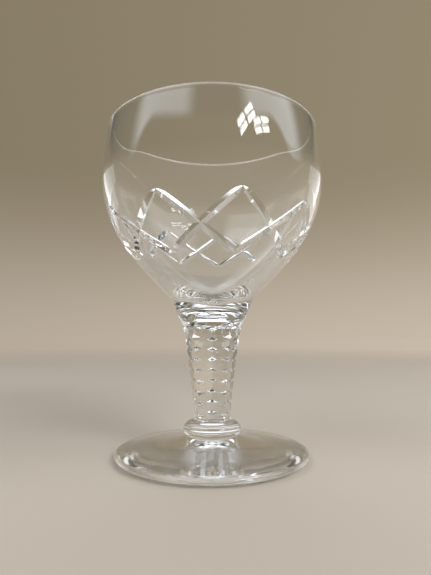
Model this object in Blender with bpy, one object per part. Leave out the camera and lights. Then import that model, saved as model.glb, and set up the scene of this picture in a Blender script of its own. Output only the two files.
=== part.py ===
# A cut wine glass standing on its foot, in metres, with +Z up and the origin under its middle.
# Four pieces of clear glass: a blown bowl with a lattice of mitre cuts, a faceted stem with
# notched edges, a ring collar and a low conical foot. The pieces are fused to each other in
# the real glass. Here a thin gap marks each of those joints.
import math

import bmesh
import bpy
from mathutils import Matrix, Vector
from mathutils.geometry import interpolate_bezier

HEIGHT = 0.120
JOINT_GAP = 0.0003

FOOT_RADIUS = 0.0348
FOOT_EDGE = 0.0028
FOOT_TOP = 0.0070
FOOT_SWEEP = 1.3

COLLAR_RADIUS = 0.0106
COLLAR_NECK = 0.0080
COLLAR_TOP = 0.0124

STEM_TOP = 0.0550
STEM_WAIST = 0.0073
STEM_SHOULDER = 0.0144
SHOULDER_SLOPE = 0.48
STEM_FACETS = 5
FACET_FEET = 0.0470
FACET_ARCH = 0.0520
NOTCH_ROWS = 9
NOTCH_LOWEST = 0.0151
NOTCH_PITCH = 0.00395
NOTCH_DEPTH = 0.00125
NOTCH_HALF_ANGLE = math.radians(36)

BOWL_RADIUS = 0.0411
BOWL_WIDEST = 0.0996
RIM_RADIUS = 0.0397
RIM_THICKNESS = 0.0017
CAVITY_BOTTOM = 0.0575
LATTICE_COUNT = 9
LATTICE_TURN = math.tau / LATTICE_COUNT
LATTICE_START = math.radians(14)
LATTICE_TOP = 0.824
LATTICE_BOTTOM = 0.485
LATTICE_BOW = 0.16
MITRE_DEPTH = 0.00105
MITRE_HALF_ANGLE = math.radians(54)

# Each curve is a Bezier in the plane of radius and height.
BOWL_WALL = (
    Vector((STEM_SHOULDER, STEM_TOP)),
    Vector((STEM_SHOULDER + 0.0053 * SHOULDER_SLOPE, STEM_TOP + 0.0053)),
    Vector((BOWL_RADIUS, 0.0769)),
    Vector((BOWL_RADIUS, BOWL_WIDEST)),
)
BOWL_LIP = (
    BOWL_WALL[3],
    Vector((BOWL_RADIUS, 0.1080)),
    Vector((0.0405, 0.1145)),
    Vector((RIM_RADIUS, HEIGHT - RIM_THICKNESS / 2)),
)
CAVITY_WALL = (
    Vector((0, CAVITY_BOTTOM)),
    Vector((0.0140, CAVITY_BOTTOM)),
    Vector((0.0392, 0.0800)),
    Vector((0.0392, 0.1030)),
)
CAVITY_LIP = (
    CAVITY_WALL[3],
    Vector((0.0392, 0.1090)),
    Vector((0.0387, 0.1145)),
    Vector((RIM_RADIUS - RIM_THICKNESS, HEIGHT - RIM_THICKNESS / 2)),
)
STEM_SIDE = (
    Vector((STEM_WAIST, COLLAR_TOP)),
    Vector((STEM_WAIST, 0.0160)),
    Vector((STEM_SHOULDER - 0.0100 * SHOULDER_SLOPE, STEM_TOP - 0.0100)),
    Vector((STEM_SHOULDER, STEM_TOP)),
)


def along(curve, share):
    """The curve's point and direction at this share of its length parameter."""
    a, b, c, d = curve
    back = 1 - share
    point = back**3 * a + 3 * back**2 * share * b + 3 * back * share**2 * c + share**3 * d
    slope = back**2 * (b - a) + 2 * back * share * (c - b) + share**2 * (d - c)
    return point, slope.normalized()


def traced(curve, steps):
    return interpolate_bezier(*curve, steps + 1)


def arc(centre, radii, first, last, steps):
    """Points of an elliptical arc in the plane of radius and height, ends included."""
    turn = (last - first) / steps
    return [
        Vector(
            (
                centre[0] + radii[0] * math.cos(first + turn * i),
                centre[1] + radii[1] * math.sin(first + turn * i),
            )
        )
        for i in range(steps + 1)
    ]


def add_object(name, bm):
    mesh = bpy.data.meshes.new(name)
    bm.to_mesh(mesh)
    bm.free()
    obj = bpy.data.objects.new(name, mesh)
    bpy.context.collection.objects.link(obj)
    return obj


def turned(name, outline, steps):
    """A solid of revolution about the axis, from an outline that starts and ends on it."""
    bm = bmesh.new()
    verts = [bm.verts.new((point[0], 0, point[1])) for point in outline]
    edges = [bm.edges.new(pair) for pair in zip(verts, verts[1:])]
    bmesh.ops.spin(
        bm,
        geom=verts + edges,
        cent=(0, 0, 0),
        axis=(0, 0, 1),
        angle=math.tau,
        steps=steps,
        use_merge=True,
    )
    bmesh.ops.remove_doubles(bm, verts=bm.verts, dist=1e-6)
    bmesh.ops.recalc_face_normals(bm, faces=bm.faces)
    return add_object(name, bm)


def skinned(bm, loops):
    """Closes a row of matching edge loops into one body."""
    for near, far in zip(loops, loops[1:]):
        bmesh.ops.bridge_loops(bm, edges=near + far)
    for loop in (loops[0], loops[-1]):
        bmesh.ops.edgeloop_fill(bm, edges=loop)


def ring_of(bm, corners):
    verts = [bm.verts.new(corner) for corner in corners]
    return [bm.edges.new((verts[i - 1], verts[i])) for i in range(len(verts))]


def cut(piece, cutter, operation="DIFFERENCE"):
    cutter.hide_render = True
    cutter.display_type = "WIRE"
    modifier = piece.modifiers.new(cutter.name, "BOOLEAN")
    modifier.operation = operation
    modifier.solver = "EXACT"
    modifier.object = cutter


def settle(piece, sharp_degrees=28):
    """Applies the piece's cuts, removes their cutters and shades its round faces smooth."""
    cutters = [modifier.object for modifier in piece.modifiers]
    if cutters:
        graph = bpy.context.evaluated_depsgraph_get()
        mesh = bpy.data.meshes.new_from_object(piece.evaluated_get(graph))
        mesh.name = piece.name
        piece.modifiers.clear()
        piece.data = mesh
    for cutter in cutters:
        bpy.data.objects.remove(cutter)
    piece.data.shade_smooth()
    piece.data.set_sharp_from_angle(angle=math.radians(sharp_degrees))


def glass(piece, colour, roughness):
    material = bpy.data.materials.new(piece.name + "_glass")
    material.use_nodes = True
    shader = material.node_tree.nodes["Principled BSDF"]
    shader.inputs["Base Color"].default_value = (*colour, 1)
    shader.inputs["Roughness"].default_value = roughness
    shader.inputs["Metallic"].default_value = 0
    shader.inputs["IOR"].default_value = 1.52
    shader.inputs["Transmission Weight"].default_value = 1
    piece.data.materials.clear()
    piece.data.materials.append(material)


def mitre_cutter(name, lean):
    """A set of V blades, one for each cut that leans this way, each following the bowl's wall."""
    stations = 14
    clear = 0.0008
    bm = bmesh.new()

    def wall(share, start):
        # The cut falls a little faster over the steep upper wall than over the cone below.
        fall = share + LATTICE_BOW * share * (1 - share)
        point, slope = along(BOWL_WALL, LATTICE_TOP + (LATTICE_BOTTOM - LATTICE_TOP) * fall)
        spin = Matrix.Rotation(start + lean * LATTICE_TURN * share, 3, "Z")
        outward = spin @ Vector((slope[1], 0, -slope[0]))
        return spin @ Vector((point[0], 0, point[1])), outward

    for number in range(LATTICE_COUNT):
        # The angle is counted from -Y, which is the front.
        start = LATTICE_START - math.pi / 2 + number * LATTICE_TURN
        loops = []
        for i in range(stations + 1):
            share = i / stations
            point, outward = wall(share, start)
            ahead = wall(share + 0.01, start)[0] - wall(share - 0.01, start)[0]
            aside = outward.cross(ahead).normalized()
            # The cut runs out to a point at both of its ends.
            depth = MITRE_DEPTH * (1.04 * (1 - (2 * share - 1) ** 4) - 0.04)
            half = (depth + clear) * math.tan(MITRE_HALF_ANGLE)
            base = point + outward * clear
            loops.append(ring_of(bm, (point - outward * depth, base + aside * half, base - aside * half)))
        skinned(bm, loops)
    bmesh.ops.recalc_face_normals(bm, faces=bm.faces)
    return add_object(name, bm)


def facet_envelope(name):
    """A many-sided sleeve whose flats sink into the stem and run out at an arch near its top."""
    steps = 26
    half_turn = math.pi / STEM_FACETS
    bm = bmesh.new()
    loops = []
    for i in range(steps + 1):
        point, _ = along(STEM_SIDE, i / steps)
        rise = max(0, (point[1] - FACET_FEET) / (FACET_ARCH - FACET_FEET))
        flat = math.cos(half_turn) + (1 - math.cos(half_turn)) * rise**1.5
        corner = point[0] * flat / math.cos(half_turn)
        height = point[1] + (0.001 if i == steps else -0.001 if i == 0 else 0)
        circle = bmesh.ops.create_circle(
            bm,
            segments=STEM_FACETS,
            radius=corner,
            matrix=Matrix.Translation((0, 0, height)) @ Matrix.Rotation(half_turn - math.pi, 4, "Z"),
        )
        edges = [edge for vert in circle["verts"] for edge in vert.link_edges]
        loops.append(list(dict.fromkeys(edges)))
    skinned(bm, loops)
    bmesh.ops.recalc_face_normals(bm, faces=bm.faces)
    return add_object(name, bm)


def stem_radius(height):
    low, high = 0, 1
    for _ in range(40):
        middle = (low + high) / 2
        if along(STEM_SIDE, middle)[0][1] < height:
            low = middle
        else:
            high = middle
    return along(STEM_SIDE, low)[0][0]


def notch_cutter(name):
    """A V ring in each level row, too shallow to reach the flats, so it notches only the edges."""
    clear = 0.0004
    half = (NOTCH_DEPTH + clear) * math.tan(NOTCH_HALF_ANGLE)
    bm = bmesh.new()
    for row in range(NOTCH_ROWS):
        height = NOTCH_LOWEST + row * NOTCH_PITCH
        edge = stem_radius(height)
        section = ring_of(
            bm,
            (
                Vector((edge - NOTCH_DEPTH, 0, height)),
                Vector((edge + clear, 0, height + half)),
                Vector((edge + clear, 0, height - half)),
            ),
        )
        corners = list(dict.fromkeys(vert for line in section for vert in line.verts))
        bmesh.ops.spin(
            bm,
            geom=corners + section,
            cent=(0, 0, 0),
            axis=(0, 0, 1),
            angle=math.tau,
            steps=40,
            use_merge=True,
        )
    bmesh.ops.remove_doubles(bm, verts=bm.verts, dist=1e-6)
    bmesh.ops.recalc_face_normals(bm, faces=bm.faces)
    return add_object(name, bm)


def make_bowl():
    base = STEM_TOP + JOINT_GAP / 2
    lip = arc(
        (RIM_RADIUS - RIM_THICKNESS / 2, HEIGHT - RIM_THICKNESS / 2),
        (RIM_THICKNESS / 2, RIM_THICKNESS / 2),
        math.pi,
        0,
        6,
    )
    inside = traced(CAVITY_WALL, 14) + traced(CAVITY_LIP, 3)[1:-1]
    outside = traced(BOWL_LIP, 3)[::-1][1:-1] + traced(BOWL_WALL, 15)[::-1][:-1]
    outline = inside + lip + outside
    outline += [Vector((STEM_SHOULDER, base)), Vector((0, base))]
    bowl = turned("bowl", outline, 64)
    cut(bowl, mitre_cutter("mitres_right", 1))
    cut(bowl, mitre_cutter("mitres_left", -1))
    settle(bowl)
    glass(bowl, (0.93, 0.95, 0.95), 0.02)
    return bowl


def make_stem():
    top = STEM_TOP - JOINT_GAP / 2
    bottom = COLLAR_TOP + JOINT_GAP / 2
    side = traced(STEM_SIDE, 18)[1:-1]
    outline = [Vector((0, top)), Vector((STEM_SHOULDER, top))] + side[::-1]
    outline += [Vector((STEM_WAIST, bottom)), Vector((0, bottom))]
    stem = turned("stem", outline, 48)
    cut(stem, facet_envelope("facets"), "INTERSECT")
    cut(stem, notch_cutter("notches"))
    settle(stem)
    glass(stem, (0.93, 0.95, 0.95), 0.03)
    return stem


def make_collar():
    top = COLLAR_TOP - JOINT_GAP / 2
    bottom = FOOT_TOP + JOINT_GAP / 2
    middle = (top + bottom) / 2
    swell = COLLAR_RADIUS - COLLAR_NECK
    side = arc((COLLAR_NECK, middle), (swell, (top - bottom) / 2), math.pi / 2, -math.pi / 2, 12)
    collar = turned("collar", [Vector((0, top)), *side, Vector((0, bottom))], 48)
    settle(collar, 50)
    glass(collar, (0.93, 0.95, 0.95), 0.02)
    return collar


def make_foot():
    top = FOOT_TOP - JOINT_GAP / 2
    inner = COLLAR_NECK + 0.0012
    edge = FOOT_EDGE / 2
    outer = FOOT_RADIUS - edge
    cone = []
    steps = 8
    for i in range(steps):
        radius = inner + (outer - inner) * i / steps
        share = (outer - radius) / (outer - inner)
        cone.append(Vector((radius, FOOT_EDGE + (top - FOOT_EDGE) * share**FOOT_SWEEP)))
    rim = arc((outer, edge), (edge, edge), math.pi / 2, -math.pi / 2, 8)
    foot = turned("foot", [Vector((0, top)), *cone, *rim, Vector((0, 0))], 64)
    settle(foot, 50)
    glass(foot, (0.93, 0.95, 0.95), 0.02)
    return foot


for old in list(bpy.data.objects):
    bpy.data.objects.remove(old)

make_bowl()
make_stem()
make_collar()
make_foot()
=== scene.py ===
import math

import bmesh
import bpy
from mathutils import Matrix, Vector
from mathutils.geometry import interpolate_bezier


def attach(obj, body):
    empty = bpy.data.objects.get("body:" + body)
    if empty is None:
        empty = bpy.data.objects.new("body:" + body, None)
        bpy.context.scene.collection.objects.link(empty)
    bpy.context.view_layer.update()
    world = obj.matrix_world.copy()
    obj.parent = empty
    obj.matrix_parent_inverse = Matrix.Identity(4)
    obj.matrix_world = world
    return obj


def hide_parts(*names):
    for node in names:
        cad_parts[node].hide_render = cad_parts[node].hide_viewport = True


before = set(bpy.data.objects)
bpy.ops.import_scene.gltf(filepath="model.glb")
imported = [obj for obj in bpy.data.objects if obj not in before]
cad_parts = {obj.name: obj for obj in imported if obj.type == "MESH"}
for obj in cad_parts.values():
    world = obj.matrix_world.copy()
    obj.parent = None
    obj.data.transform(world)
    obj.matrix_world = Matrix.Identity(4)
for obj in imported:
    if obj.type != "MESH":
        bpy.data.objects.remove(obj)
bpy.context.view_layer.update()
scene = bpy.context.scene
print("frame loaded:", sorted(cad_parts))


# shared tools

def trace(curve, steps):
    return [Vector(p) for p in interpolate_bezier(*curve, steps + 1)]


def curveAt(curve, share):  # the point on a curve, and the way it runs there
    a, b, c, d = curve
    back = 1 - share
    point = back**3 * a + 3 * back**2 * share * b + 3 * back * share**2 * c + share**3 * d
    run = back**2 * (b - a) + 2 * back * share * (c - b) + share**2 * (d - c)
    return point, run.normalized()


def ovalArc(centre, radii, first, last, steps):
    turn = (last - first) / steps
    points = []
    for i in range(steps + 1):
        across = radii[0] * math.cos(first + turn * i)
        up = radii[1] * math.sin(first + turn * i)
        points.append(Vector((centre[0] + across, centre[1] + up)))
    return points


def makeObject(name, bm):
    mesh = bpy.data.meshes.new(name)
    bm.to_mesh(mesh)
    bm.free()
    piece = bpy.data.objects.new(name, mesh)
    scene.collection.objects.link(piece)
    return piece


def spinOutline(outline, segments):  # an outline of (radius, height) turned about the axis
    bm = bmesh.new()
    verts = [bm.verts.new((p[0], 0, p[1])) for p in outline]
    edges = [bm.edges.new(pair) for pair in zip(verts, verts[1:])]
    bmesh.ops.spin(bm, geom=verts + edges, cent=(0, 0, 0), axis=(0, 0, 1),
                   angle=math.tau, steps=segments, use_merge=True)
    bmesh.ops.remove_doubles(bm, verts=bm.verts, dist=1e-7)
    bmesh.ops.recalc_face_normals(bm, faces=bm.faces)
    return bm


def bridgeRow(bm, loops):  # skins a row of rings and closes both ends
    for near, far in zip(loops, loops[1:]):
        bmesh.ops.bridge_loops(bm, edges=near + far)
    for loop in (loops[0], loops[-1]):
        bmesh.ops.edgeloop_fill(bm, edges=loop)


def ringEdges(made):
    return list(dict.fromkeys(edge for vert in made["verts"] for edge in vert.link_edges))


def carve(piece, cutter, operation="DIFFERENCE"):
    step = piece.modifiers.new(cutter.name, "BOOLEAN")
    step.operation = operation
    step.solver = "EXACT"
    step.material_mode = "INDEX"
    step.object = cutter


def applyCuts(piece):
    cutters = [step.object for step in piece.modifiers]
    graph = bpy.context.evaluated_depsgraph_get()
    mesh = bpy.data.meshes.new_from_object(piece.evaluated_get(graph))
    piece.modifiers.clear()
    bm = bmesh.new()
    bm.from_mesh(mesh)
    bmesh.ops.dissolve_degenerate(bm, dist=1e-6, edges=bm.edges)  # crumbs where cuts meet
    bm.to_mesh(mesh)
    bm.free()
    piece.data = mesh
    mesh.name = piece.name
    for cutter in cutters:
        bpy.data.objects.remove(cutter)


flatEnough = 0.99  # how level a face has to be to count as a joint
nearEnough = 1e-5


def markJoints(piece, isJoint, slot):  # the hidden faces where two gathers are fused
    for face in piece.data.polygons:
        if isJoint(face.center, face.normal):
            face.material_index = slot


def finishPiece(piece, node, sharp):
    piece.data.shade_smooth()
    piece.data.set_sharp_from_angle(angle=math.radians(sharp))
    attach(piece, "root")
    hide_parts(node)
    print(node, "made:", len(piece.data.polygons), "faces")


# materials

def addNode(tree, kind, **inputs):
    node = tree.nodes.new(kind)
    for name, value in inputs.items():
        node.inputs[name].default_value = value
    return node


def glassMaterial(name, look):
    material = bpy.data.materials.new(name)
    material.use_nodes = True
    tree = material.node_tree
    link = tree.links.new
    shader = tree.nodes["Principled BSDF"]
    shader.inputs["IOR"].default_value = look["ior"]
    shader.inputs["Transmission Weight"].default_value = 1
    place = addNode(tree, "ShaderNodeTexCoord")

    # a faint change of tint through the glass
    cloud = addNode(tree, "ShaderNodeTexNoise", Scale=look["cloudScale"], Detail=2.0)
    tint = tree.nodes.new("ShaderNodeMix")
    tint.data_type = "RGBA"
    tint.inputs["A"].default_value = (*look["tintThin"], 1)
    tint.inputs["B"].default_value = (*look["tintThick"], 1)
    link(place.outputs["Object"], cloud.inputs["Vector"])
    link(cloud.outputs["Fac"], tint.inputs["Factor"])
    link(tint.outputs["Result"], shader.inputs["Base Color"])

    # handling marks: patches that are a touch less polished
    marks = addNode(tree, "ShaderNodeTexNoise", Scale=look["markScale"], Detail=5.0, Roughness=0.6)
    polish = addNode(tree, "ShaderNodeMapRange")
    polish.inputs["From Min"].default_value = look["markFrom"]
    polish.inputs["From Max"].default_value = look["markTo"]
    polish.inputs["To Min"].default_value = look["roughLow"]
    polish.inputs["To Max"].default_value = look["roughHigh"]
    link(place.outputs["Object"], marks.inputs["Vector"])
    link(marks.outputs["Fac"], polish.inputs["Value"])
    link(polish.outputs["Result"], shader.inputs["Roughness"])

    # slow waves left by the blowing, and the fine lines of the cutting wheel
    waves = addNode(tree, "ShaderNodeTexNoise", Scale=look["waveScale"], Detail=1.5)
    stretch = tree.nodes.new("ShaderNodeMapping")
    stretch.inputs["Scale"].default_value = look["waveStretch"]
    bump = addNode(tree, "ShaderNodeBump", Strength=look["waveStrength"], Distance=0.001)
    link(place.outputs["Object"], stretch.inputs["Vector"])
    link(stretch.outputs["Vector"], waves.inputs["Vector"])
    link(waves.outputs["Fac"], bump.inputs["Height"])
    if look.get("lineStrength"):
        lines = addNode(tree, "ShaderNodeTexWave", Scale=look["lineScale"], Distortion=1.5,
                        Detail=2.0)
        lines.bands_direction = "Z"
        fine = addNode(tree, "ShaderNodeBump", Strength=look["lineStrength"], Distance=0.0001)
        link(place.outputs["Object"], lines.inputs["Vector"])
        link(lines.outputs["Fac"], fine.inputs["Height"])
        link(bump.outputs["Normal"], fine.inputs["Normal"])
        bump = fine
    link(bump.outputs["Normal"], shader.inputs["Normal"])
    return material


def jointMaterial():  # glass runs straight on through a fused joint
    material = bpy.data.materials.new("fusedJoint")
    material.use_nodes = True
    tree = material.node_tree
    tree.nodes.clear()
    through = tree.nodes.new("ShaderNodeBsdfTransparent")
    output = tree.nodes.new("ShaderNodeOutputMaterial")
    tree.links.new(through.outputs["BSDF"], output.inputs["Surface"])
    return material


plainGlass = {
    "ior": 1.52,
    "tintThin": (0.985, 0.99, 0.988),
    "tintThick": (0.96, 0.972, 0.97),
    "cloudScale": 30.0,
    "markScale": 90.0,
    "markFrom": 0.52,
    "markTo": 0.78,
    "roughLow": 0.0,
    "roughHigh": 0.03,
    "waveScale": 28.0,
    "waveStretch": (1.0, 1.0, 0.4),
    "waveStrength": 0.04,
}
cutGlass = {**plainGlass, "roughHigh": 0.05, "lineScale": 900.0, "lineStrength": 0.015}

joint = jointMaterial()


# bowl

bowl = {
    "segments": 300,
    "base": 0.0550,
    "baseRadius": 0.0144,
    "baseSlope": 0.48,
    "baseRise": 0.0053,
    "belly": 0.0769,
    "widest": 0.0411,
    "widestAt": 0.0996,
    "lipSwell": 0.1080,
    "lipTurn": (0.0405, 0.1145),
    "top": 0.1200,
    "rimRadius": 0.0397,
    "rimThick": 0.0017,
    "cavityFloor": 0.0562,
    "cavityRound": 0.0095,
    "cavityBelly": 0.0800,
    "cavityWidest": 0.0392,
    "cavityWidestAt": 0.1030,
    "cavityLipSwell": 0.1090,
    "cavityLipTurn": (0.0387, 0.1145),
    "cuts": 9,
    "cutStart": 14,
    "cutTop": 0.824,
    "cutFoot": 0.485,
    "cutBow": 0.16,
    "cutDepth": 0.00105,
    "cutRunOut": 0.04,
    "cutRunOutPower": 10,
    "cutHalfAngle": 54,
    "bladeClear": 0.0008,  # how far a blade stands out of the glass
    "sharp": 18,
}
baseFlare = bowl["baseRise"] * bowl["baseSlope"]
bowlWall = (
    Vector((bowl["baseRadius"], bowl["base"])),
    Vector((bowl["baseRadius"] + baseFlare, bowl["base"] + bowl["baseRise"])),
    Vector((bowl["widest"], bowl["belly"])),
    Vector((bowl["widest"], bowl["widestAt"])),
)


def mitreBlades(name, lean):  # V blades that lean one way round the bowl
    stations = 40
    runOut = bowl["cutRunOut"]
    turn = math.tau / bowl["cuts"]
    spread = math.tan(math.radians(bowl["cutHalfAngle"]))

    def wallAt(share, start):
        fall = share + bowl["cutBow"] * share * (1 - share)
        point, run = curveAt(bowlWall, bowl["cutTop"] + (bowl["cutFoot"] - bowl["cutTop"]) * fall)
        spin = Matrix.Rotation(start + lean * turn * share, 3, "Z")
        return spin @ Vector((point[0], 0, point[1])), spin @ Vector((run[1], 0, -run[0]))

    bm = bmesh.new()
    for number in range(bowl["cuts"]):
        start = math.radians(bowl["cutStart"]) - math.pi / 2 + number * turn  # from the front
        loops = []
        for i in range(stations + 1):
            share = i / stations
            point, outward = wallAt(share, start)
            ahead = (wallAt(share + 0.01, start)[0] - wallAt(share - 0.01, start)[0]).normalized()
            aside = outward.cross(ahead).normalized()
            body = 1 - (2 * share - 1) ** bowl["cutRunOutPower"]
            depth = bowl["cutDepth"] * ((1 + runOut) * body - runOut)  # runs out at both ends
            reach = (depth + bowl["bladeClear"]) / 1.5  # a three-sided ring is 1.5 radii deep
            axes = Matrix((aside * spread * math.sqrt(3), -outward, ahead)).transposed().to_4x4()
            made = bmesh.ops.create_circle(
                bm, segments=3, radius=reach, cap_ends=False,
                matrix=Matrix.Translation(point - outward * (depth - reach)) @ axes)
            loops.append(ringEdges(made))
        bridgeRow(bm, loops)
    bmesh.ops.recalc_face_normals(bm, faces=bm.faces)
    for face in bm.faces:
        face.material_index = 1
    return makeObject(name, bm)


def makeBowl():
    thick = bowl["rimThick"]
    lipHeight = bowl["top"] - thick / 2
    lip = (
        bowlWall[3],
        Vector((bowl["widest"], bowl["lipSwell"])),
        Vector(bowl["lipTurn"]),
        Vector((bowl["rimRadius"], lipHeight)),
    )
    cavity = (
        Vector((0, bowl["cavityFloor"])),
        Vector((bowl["cavityRound"], bowl["cavityFloor"])),
        Vector((bowl["cavityWidest"], bowl["cavityBelly"])),
        Vector((bowl["cavityWidest"], bowl["cavityWidestAt"])),
    )
    cavityLip = (
        cavity[3],
        Vector((bowl["cavityWidest"], bowl["cavityLipSwell"])),
        Vector(bowl["cavityLipTurn"]),
        Vector((bowl["rimRadius"] - thick, lipHeight)),
    )
    rim = ovalArc((bowl["rimRadius"] - thick / 2, lipHeight), (thick / 2, thick / 2), math.pi, 0, 14)
    inside = trace(cavity, 64) + trace(cavityLip, 16)[1:-1]
    outside = trace(lip, 20)[::-1][1:-1] + trace(bowlWall, 70)[::-1]
    outline = inside + rim + outside + [Vector((0, bowl["base"]))]
    piece = makeObject("glassBowl", spinOutline(outline, bowl["segments"]))
    piece.data.materials.append(glassMaterial("bowlGlass", plainGlass))
    piece.data.materials.append(glassMaterial("bowlCuts", cutGlass))
    piece.data.materials.append(joint)
    carve(piece, mitreBlades("mitresRight", 1))
    carve(piece, mitreBlades("mitresLeft", -1))
    applyCuts(piece)

    def isJoint(at, way):
        return way[2] < -flatEnough and abs(at[2] - bowl["base"]) < nearEnough

    markJoints(piece, isJoint, 2)
    finishPiece(piece, "bowl", bowl["sharp"])


makeBowl()


# stem

stem = {
    "segments": 300,
    "top": 0.0550,
    "shoulder": 0.0144,
    "shoulderSlope": 0.48,
    "shoulderRise": 0.0100,
    "waist": 0.0073,
    "waistEnd": 0.0160,
    "bottom": 0.0124,
    "flats": 5,
    "flatFeet": 0.0470,
    "flatArch": 0.0520,
    "archPower": 1.5,
    "flatSink": 0.9985,
    "sleevePast": 0.001,  # how far the sleeve reaches past both ends
    "notchRows": 9,
    "notchLowest": 0.0151,
    "notchPitch": 0.00395,
    "notchDepth": 0.00125,
    "notchHalfAngle": 36,
    "notchClear": 0.0004,
    "sharp": 14,
}
shoulderFlare = stem["shoulderRise"] * stem["shoulderSlope"]
stemSide = (
    Vector((stem["waist"], stem["bottom"])),
    Vector((stem["waist"], stem["waistEnd"])),
    Vector((stem["shoulder"] - shoulderFlare, stem["top"] - stem["shoulderRise"])),
    Vector((stem["shoulder"], stem["top"])),
)


def stemRadius(height):
    low, high = 0, 1
    for _ in range(40):
        middle = (low + high) / 2
        if curveAt(stemSide, middle)[0][1] < height:
            low = middle
        else:
            high = middle
    return curveAt(stemSide, low)[0][0]


def flatsSleeve():  # a five-sided sleeve whose flats run out at an arch near the top
    steps = 90
    halfTurn = math.pi / stem["flats"]
    bm = bmesh.new()
    loops = []
    for i in range(steps + 1):
        point, _ = curveAt(stemSide, i / steps)
        rise = max(0, (point[1] - stem["flatFeet"]) / (stem["flatArch"] - stem["flatFeet"]))
        flat = math.cos(halfTurn) + (1 - math.cos(halfTurn)) * rise ** stem["archPower"]
        corner = point[0] * flat / math.cos(halfTurn) * stem["flatSink"]
        height = point[1]
        if i == 0:
            height -= stem["sleevePast"]
        if i == steps:
            height += stem["sleevePast"]
        made = bmesh.ops.create_circle(
            bm, segments=stem["flats"], radius=corner, cap_ends=False,
            matrix=Matrix.Translation((0, 0, height)) @ Matrix.Rotation(halfTurn - math.pi, 4, "Z"))
        loops.append(ringEdges(made))
    bridgeRow(bm, loops)
    bmesh.ops.recalc_face_normals(bm, faces=bm.faces)
    for face in bm.faces:
        face.material_index = 1
    return makeObject("flats", bm)


def notchRings():  # a V ring in each level row, which reaches only the edges between the flats
    spread = math.tan(math.radians(stem["notchHalfAngle"]))
    reach = (stem["notchDepth"] + stem["notchClear"]) / 1.5
    bm = bmesh.new()
    for row in range(stem["notchRows"]):
        height = stem["notchLowest"] + row * stem["notchPitch"]
        middle = stemRadius(height) - stem["notchDepth"] + reach
        lay = Matrix((
            (0, -1, 0, middle),
            (0, 0, 1, 0),
            (spread * math.sqrt(3), 0, 0, height),
            (0, 0, 0, 1),
        ))
        made = bmesh.ops.create_circle(bm, segments=3, radius=reach, cap_ends=False, matrix=lay)
        bmesh.ops.spin(bm, geom=made["verts"] + ringEdges(made), cent=(0, 0, 0), axis=(0, 0, 1),
                       angle=math.tau, steps=240, use_merge=True)
    bmesh.ops.remove_doubles(bm, verts=bm.verts, dist=1e-7)
    bmesh.ops.recalc_face_normals(bm, faces=bm.faces)
    for face in bm.faces:
        face.material_index = 1
    return makeObject("notches", bm)


def makeStem():
    outline = [Vector((0, stem["top"]))] + trace(stemSide, 120)[::-1] + [Vector((0, stem["bottom"]))]
    piece = makeObject("glassStem", spinOutline(outline, stem["segments"]))
    piece.data.materials.append(glassMaterial("stemGlass", plainGlass))
    piece.data.materials.append(glassMaterial("stemCuts", cutGlass))
    piece.data.materials.append(joint)
    carve(piece, flatsSleeve(), "INTERSECT")
    carve(piece, notchRings())
    applyCuts(piece)

    def isJoint(at, way):
        gap = min(abs(at[2] - stem["top"]), abs(at[2] - stem["bottom"]))
        return abs(way[2]) > flatEnough and gap < nearEnough

    markJoints(piece, isJoint, 2)
    finishPiece(piece, "stem", stem["sharp"])


makeStem()


# collar

collar = {
    "segments": 300,
    "top": 0.0124,
    "bottom": 0.0070,
    "neck": 0.0080,
    "radius": 0.0106,
    "sharp": 50,
}


def onCollarTop(at, way):
    return way[2] > flatEnough and at[2] > collar["top"] - nearEnough


def makeCollar():
    middle = (collar["top"] + collar["bottom"]) / 2
    swell = (collar["radius"] - collar["neck"], (collar["top"] - collar["bottom"]) / 2)
    side = ovalArc((collar["neck"], middle), swell, math.pi / 2, -math.pi / 2, 40)
    outline = [Vector((0, collar["top"])), *side, Vector((0, collar["bottom"]))]
    bm = spinOutline(outline, collar["segments"])
    # the stem's five-sided end is marked out on the top
    halfTurn = math.pi / stem["flats"]
    apothem = stem["waist"] * stem["flatSink"] * math.cos(halfTurn)
    turns = [-math.pi / 2 + 2 * halfTurn * i for i in range(stem["flats"])]
    walls = [Vector((math.cos(turn), math.sin(turn), 0)) for turn in turns]
    for wall in walls:
        faces = [f for f in bm.faces if onCollarTop(f.calc_center_median(), f.normal)]
        rims = dict.fromkeys(e for f in faces for e in f.edges)
        corners = dict.fromkeys(v for f in faces for v in f.verts)
        geom = [*corners, *rims, *faces]
        bmesh.ops.bisect_plane(bm, geom=geom, dist=1e-7, plane_co=wall * apothem, plane_no=wall)
    piece = makeObject("glassCollar", bm)
    piece.data.materials.append(glassMaterial("collarGlass", plainGlass))
    piece.data.materials.append(joint)

    def isJoint(at, way):
        if way[2] < -flatEnough and at[2] < collar["bottom"] + nearEnough:
            return True
        return onCollarTop(at, way) and all(wall.dot(at) < apothem for wall in walls)

    markJoints(piece, isJoint, 1)
    finishPiece(piece, "collar", collar["sharp"])


makeCollar()


# foot

foot = {
    "segments": 300,
    "radius": 0.0348,
    "edge": 0.0028,
    "edgeLift": 0.0008,
    "ringInset": 0.0035,
    "top": 0.0070,
    "sweep": 1.3,
    "shelf": 0.0092,
    "hollow": 0.0030,
    "sharp": 50,
}


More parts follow.
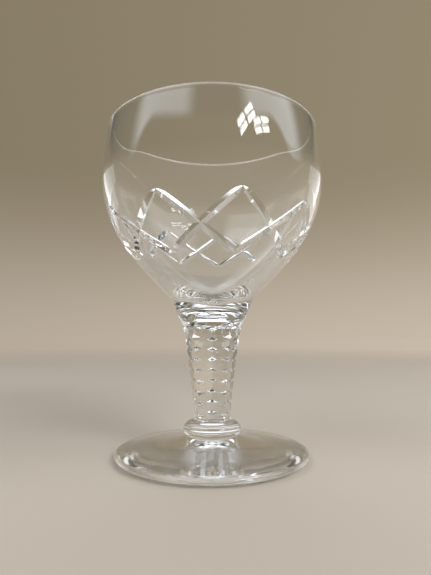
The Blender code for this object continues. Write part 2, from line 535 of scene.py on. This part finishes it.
def makeFoot():
    half = (foot["edge"] - foot["edgeLift"]) / 2
    outer = foot["radius"] - half
    steps = 60
    cone = []
    for i in range(steps):
        radius = foot["shelf"] + (outer - foot["shelf"]) * i / steps
        share = (outer - radius) / (outer - foot["shelf"])
        height = foot["edge"] + (foot["top"] - foot["edge"]) * share ** foot["sweep"]
        cone.append(Vector((radius, height)))
    edge = ovalArc((outer, foot["edgeLift"] + half), (half, half), math.pi / 2, -math.pi / 2, 24)
    # it stands on a ring inside its edge, and is hollow within the ring
    ring = outer - foot["ringInset"]
    underSteps = 40
    under = []
    for i in range(underSteps + 1):
        height = foot["hollow"] * math.sin(math.pi / 2 * i / underSteps) ** 2
        under.append(Vector((ring * (1 - i / underSteps), height)))
    shelf = [Vector((0, foot["top"])), Vector((collar["neck"], foot["top"]))]
    outline = [*shelf, *cone, *edge, *under]
    piece = makeObject("glassFoot", spinOutline(outline, foot["segments"]))
    piece.data.materials.append(glassMaterial("footGlass", plainGlass))
    piece.data.materials.append(joint)

    def isJoint(at, way):
        onTop = way[2] > flatEnough and at[2] > foot["top"] - nearEnough
        return onTop and math.hypot(at[0], at[1]) < collar["neck"]

    markJoints(piece, isJoint, 1)
    finishPiece(piece, "foot", foot["sharp"])


makeFoot()


# stage, light and camera

stage = {
    "horizon": (0.52, 0.445, 0.36),
    # painted shade: the darker colour the backdrop turns to upwards
    "top": (0.27, 0.225, 0.15),
    "topFrom": -0.05,  # these heights are sines of the angle above level
    "topTo": 0.36,
    # painted shade: how much darker the backdrop and the floor's glow are to the left, and lighter to
    # the right
    "lean": 0.22,
    "floor": (0.54, 0.47, 0.39),
    "floorRadius": 3.0,
    "floorDrop": 0.0002,
    "fadeFrom": 0.10,
    "fadeTo": 1.2,
    "belt": (1.85, 1.98, 2.14),
    "beltFrom": 0.52,
    "beltTo": 0.60,
    "beltDrop": 0.22,
    "frontFrom": -0.4,
    "frontTo": 0.0,
    "behindFrom": 0.5,
    "behindTo": 0.8,
    "windows": 3,
    "windowTurn": 110,
    "windowSoft": 0.5,
    "wallLevel": 0.04,
    "ceiling": (0.05, 0.05, 0.05),
    "ceilingFrom": 0.88,
    "ceilingTo": 0.93,
    "aim": (0, 0, 0.06),  # the point that the lamps face
}


def mathNode(tree, operation, *values):
    node = tree.nodes.new("ShaderNodeMath")
    node.operation = operation
    for socket, value in zip(node.inputs, values):
        if isinstance(value, (int, float)):
            socket.default_value = value
        else:
            tree.links.new(value, socket)
    return node.outputs[0]


def easeNode(tree, value, low, high, start=0, end=1):
    node = tree.nodes.new("ShaderNodeMapRange")
    node.interpolation_type = "SMOOTHSTEP"
    for name, number in (("From Min", low), ("From Max", high), ("To Min", start), ("To Max", end)):
        node.inputs[name].default_value = number
    tree.links.new(value, node.inputs["Value"])
    return node.outputs["Result"]


def mixNode(tree, share, first, second):
    node = tree.nodes.new("ShaderNodeMix")
    node.data_type = "RGBA"
    tree.links.new(share, node.inputs["Factor"])
    for name, colour in (("A", first), ("B", second)):
        if isinstance(colour, tuple):
            node.inputs[name].default_value = (*colour, 1)
        else:
            tree.links.new(colour, node.inputs[name])
    return node.outputs["Result"]


def scaleNode(tree, colour, level):
    node = tree.nodes.new("ShaderNodeVectorMath")
    node.operation = "SCALE"
    tree.links.new(colour, node.inputs[0])
    tree.links.new(level, node.inputs["Scale"])
    return node.outputs["Vector"]


def makeFloor():
    bm = bmesh.new()
    bmesh.ops.create_circle(bm, segments=128, radius=stage["floorRadius"], cap_ends=True,
                            matrix=Matrix.Translation((0, 0, -stage["floorDrop"])))
    floor = makeObject("floor", bm)
    material = bpy.data.materials.new("palePaper")
    material.use_nodes = True
    tree = material.node_tree
    link = tree.links.new
    tree.nodes.clear()
    place = addNode(tree, "ShaderNodeTexCoord")
    split = tree.nodes.new("ShaderNodeSeparateXYZ")
    away = tree.nodes.new("ShaderNodeVectorMath")
    away.operation = "LENGTH"
    link(place.outputs["Object"], split.inputs[0])
    link(place.outputs["Object"], away.inputs[0])
    # the paper runs out into the backdrop's own colour, with the same painted shade: darker to the
    # left, lighter to the right
    distance = away.outputs["Value"]
    across = mathNode(tree, "DIVIDE", split.outputs["X"], mathNode(tree, "MAXIMUM", distance, 0.01))
    paper = addNode(tree, "ShaderNodeBsdfDiffuse", Color=(*stage["floor"], 1))
    glow = addNode(tree, "ShaderNodeEmission", Color=(*stage["horizon"], 1))
    mix = tree.nodes.new("ShaderNodeMixShader")
    output = tree.nodes.new("ShaderNodeOutputMaterial")
    link(mathNode(tree, "MULTIPLY_ADD", across, stage["lean"], 1.0), glow.inputs["Strength"])
    link(easeNode(tree, distance, stage["fadeFrom"], stage["fadeTo"]), mix.inputs[0])
    link(paper.outputs[0], mix.inputs[1])
    link(glow.outputs[0], mix.inputs[2])
    link(mix.outputs[0], output.inputs["Surface"])
    floor.data.materials.append(material)


def makeWorld():
    world = bpy.data.worlds.new("studio")
    world.use_nodes = True
    scene.world = world
    tree = world.node_tree
    tree.nodes.clear()
    place = addNode(tree, "ShaderNodeTexCoord")
    split = tree.nodes.new("ShaderNodeSeparateXYZ")
    tree.links.new(place.outputs["Generated"], split.inputs[0])
    across, along, up = split.outputs

    # painted shade: a tan backdrop that darkens upwards and to the left
    paintedUpShade = easeNode(tree, up, stage["topFrom"], stage["topTo"])
    tan = mixNode(tree, paintedUpShade, stage["horizon"], stage["top"])
    backdrop = scaleNode(tree, tan, mathNode(tree, "MULTIPLY_ADD", across, stage["lean"], 1.0))

    # high in the room, a belt of soft windows under a dark ceiling, which the camera never sees itself
    turn = mathNode(tree, "ARCTAN2", across, along)
    wave = mathNode(tree, "MULTIPLY_ADD", turn, stage["windows"], math.radians(stage["windowTurn"]))
    soft = stage["windowSoft"]
    panes = easeNode(tree, mathNode(tree, "SINE", wave), -soft, soft, stage["wallLevel"], 1)
    shade = easeNode(tree, up, stage["ceilingFrom"], stage["ceilingTo"])
    room = scaleNode(tree, mixNode(tree, shade, stage["belt"], stage["ceiling"]), panes)

    path = tree.nodes.new("ShaderNodeLightPath")
    unseen = mathNode(tree, "SUBTRACT", 1.0, path.outputs["Is Camera Ray"])
    # the belt hangs lower at the sides, where no view through the bowl meets it
    drop = easeNode(tree, along, stage["behindFrom"], stage["behindTo"], stage["beltDrop"], 0)
    sides = easeNode(tree, along, stage["frontFrom"], stage["frontTo"])
    drop = mathNode(tree, "MULTIPLY", drop, sides)
    reach = easeNode(tree, mathNode(tree, "ADD", up, drop), stage["beltFrom"], stage["beltTo"])
    high = mathNode(tree, "MULTIPLY", reach, unseen)
    glow = addNode(tree, "ShaderNodeBackground", Strength=1.0)
    output = tree.nodes.new("ShaderNodeOutputWorld")
    tree.links.new(mixNode(tree, high, backdrop, room), glow.inputs["Color"])
    tree.links.new(glow.outputs[0], output.inputs["Surface"])


def addPanel(name, look):  # a lamp panel, split by glazing bars
    columns, rows = look["panes"]
    width = look["size"][0] / columns
    height = look["size"][1] / rows
    aim = (Vector(look["at"]) - Vector(stage["aim"])).to_track_quat("Z", "Y").to_matrix()
    aim = aim @ Matrix.Rotation(math.radians(look["roll"]), 3, "Z")
    for number in range(columns * rows):
        lamp = bpy.data.lights.new(name, "AREA")
        lamp.shape = "RECTANGLE"
        lamp.size = width - look["bar"]
        lamp.size_y = height - look["bar"]
        lamp.energy = look["power"] / (columns * rows)
        lamp.color = look["colour"]
        lamp.use_shadow = look["shadow"]
        panel = bpy.data.objects.new(name, lamp)
        across = (number % columns - (columns - 1) / 2) * width
        up = (number // columns - (rows - 1) / 2) * height
        panel.location = Vector(look["at"]) + aim @ Vector((across, up, 0))
        panel.rotation_euler = aim.to_euler()
        panel.visible_camera = False
        panel.visible_glossy = look["mirrored"]
        panel.visible_transmission = look["mirrored"]
        scene.collection.objects.link(panel)


panels = {
    "tallPane": {
        "at": (0.374, -0.553, 0.517), "size": (0.240, 0.100), "panes": (2, 2), "bar": 0.020, "roll": 30,
        "power": 0.7, "colour": (0.92, 0.96, 1.0), "mirrored": True, "shadow": True},
    "lowPane": {
        "at": (0.522, -0.440, 0.488), "size": (0.205, 0.090), "panes": (2, 2), "bar": 0.017, "roll": 4,
        "power": 0.5, "colour": (0.95, 0.98, 1.0), "mirrored": True, "shadow": True},
    "leftCard": {  # two low cards whiten the sides of the bowl
        "at": (-0.400, 0.270, 0.105), "size": (0.24, 0.10), "panes": (1, 1), "bar": 0.0, "roll": 0,
        "power": 0.075, "colour": (0.86, 0.94, 1.0), "mirrored": True, "shadow": True},
    "rightCard": {
        "at": (0.400, 0.270, 0.105), "size": (0.24, 0.10), "panes": (1, 1), "bar": 0.0, "roll": 0,
        "power": 0.075, "colour": (0.86, 0.94, 1.0), "mirrored": True, "shadow": True},
    "key": {
        "at": (0.450, -0.500, 0.500), "size": (0.30, 0.20), "panes": (1, 1), "bar": 0.0, "roll": 0,
        "power": 1.7, "colour": (0.93, 0.97, 1.0), "mirrored": False, "shadow": True},
    "fill": {
        "at": (0.250, -0.350, 0.800), "size": (0.50, 0.50), "panes": (1, 1), "bar": 0.0, "roll": 0,
        "power": 1.7, "colour": (1.0, 0.99, 0.97), "mirrored": False, "shadow": False},
}


eye = {
    "sensor": 36,
    "frameHeight": 575,  # pixels
    "focal": 440,  # pixels
    "nearest": 0.005,
    "at": (0.001235, -0.16538, 0.04468),
    "tilt": 95.764,
}


def makeCamera():
    data = bpy.data.cameras.new("camera")
    data.sensor_width = eye["sensor"]
    data.lens = eye["focal"] * eye["sensor"] / eye["frameHeight"]
    data.clip_start = eye["nearest"]
    camera = bpy.data.objects.new("camera", data)
    camera.location = eye["at"]
    camera.rotation_euler = (math.radians(eye["tilt"]), 0, 0)
    scene.collection.objects.link(camera)
    scene.camera = camera


makeFloor()
makeWorld()
for name, look in panels.items():
    addPanel(name, look)
makeCamera()
scene.view_settings.view_transform = "Standard"
# light runs many times round in the cuts before it leaves
bounces = 96
scene.cycles.max_bounces = bounces
scene.cycles.transmission_bounces = bounces
scene.cycles.glossy_bounces = bounces
scene.cycles.transparent_max_bounces = 64
print("stage lit")
